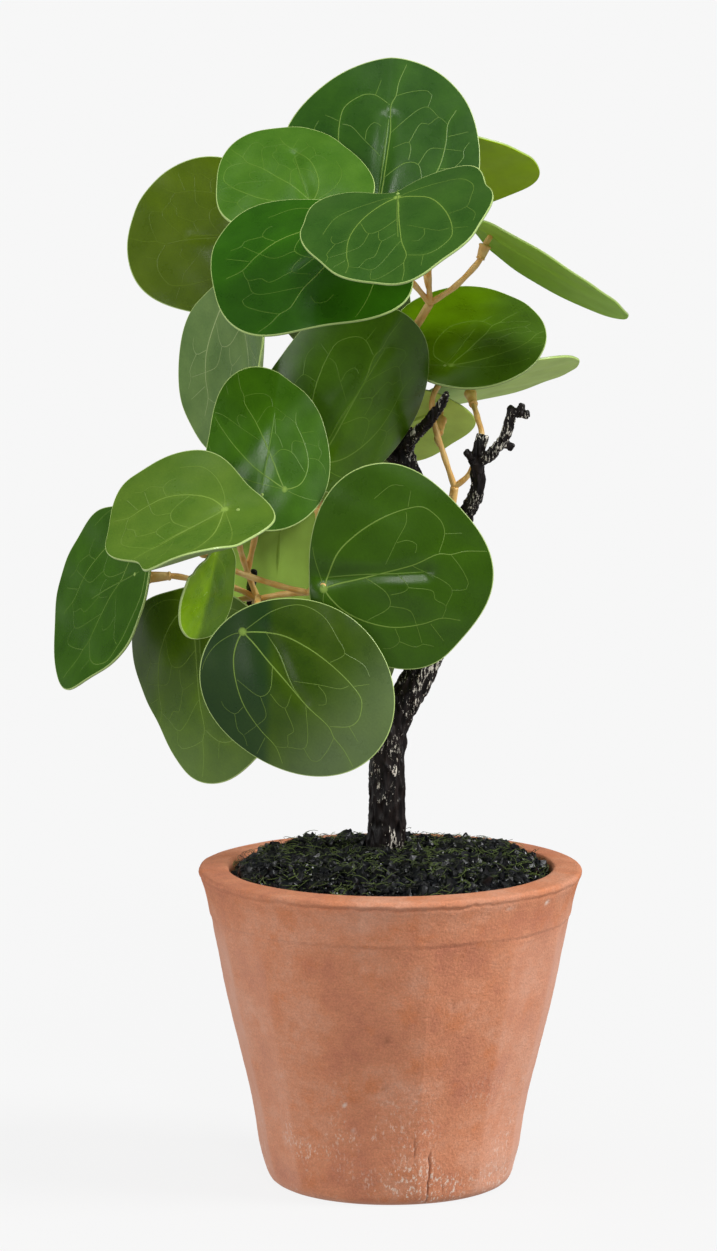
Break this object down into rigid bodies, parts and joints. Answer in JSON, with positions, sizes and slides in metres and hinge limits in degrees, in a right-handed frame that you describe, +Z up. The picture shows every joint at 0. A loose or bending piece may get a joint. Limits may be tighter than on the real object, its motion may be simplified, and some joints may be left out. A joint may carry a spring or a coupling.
{
  "type": "potted artificial pilea plant",
  "caption": "Artificial pilea tree: large round leaves on plastic sprays, a bare dark trunk with twigs, dark granular soil and a tapered terracotta pot.",
  "frame": {"origin": "centre of the pot's underside", "axes": "+Z up along the pot's axis, -Y toward the front of the plant as it is pictured, +X to its right"},
  "size_m": [0.1836, 0.1785, 0.3579],
  "materials": {
    "terracotta": "matte, unglazed",
    "soil": "rough granules",
    "bark": "ridged, slightly glossy",
    "stem_plastic": "satin",
    "leaf": "soft gloss on the face, matte underneath"
  },
  "bodies": {
    "root": {"pot": "terracotta", "soil": "soil", "trunk": "bark", "spray_upper": "stem_plastic", "spray_right": "stem_plastic", "spray_left": "stem_plastic", "spray_middle": "stem_plastic", "leaf_top": "leaf", "leaf_upper_left": "leaf", "leaf_far_left": "leaf", "leaf_left_front": "leaf", "leaf_front": "leaf", "leaf_upper_right": "leaf", "leaf_edge_on": "leaf", "leaf_right": "leaf", "leaf_right_under": "leaf", "leaf_behind_twig": "leaf", "leaf_middle": "leaf", "leaf_left_hanging": "leaf", "leaf_middle_front": "leaf", "leaf_left_wide": "leaf", "leaf_outer_left": "leaf", "leaf_small": "leaf", "leaf_low_left": "leaf", "leaf_low_front": "leaf", "leaf_low_right": "leaf", "leaf_low_under": "leaf", "leaf_back_top": "leaf", "leaf_back_middle": "leaf", "leaf_back_low": "leaf"}
  },
  "joints": []
}
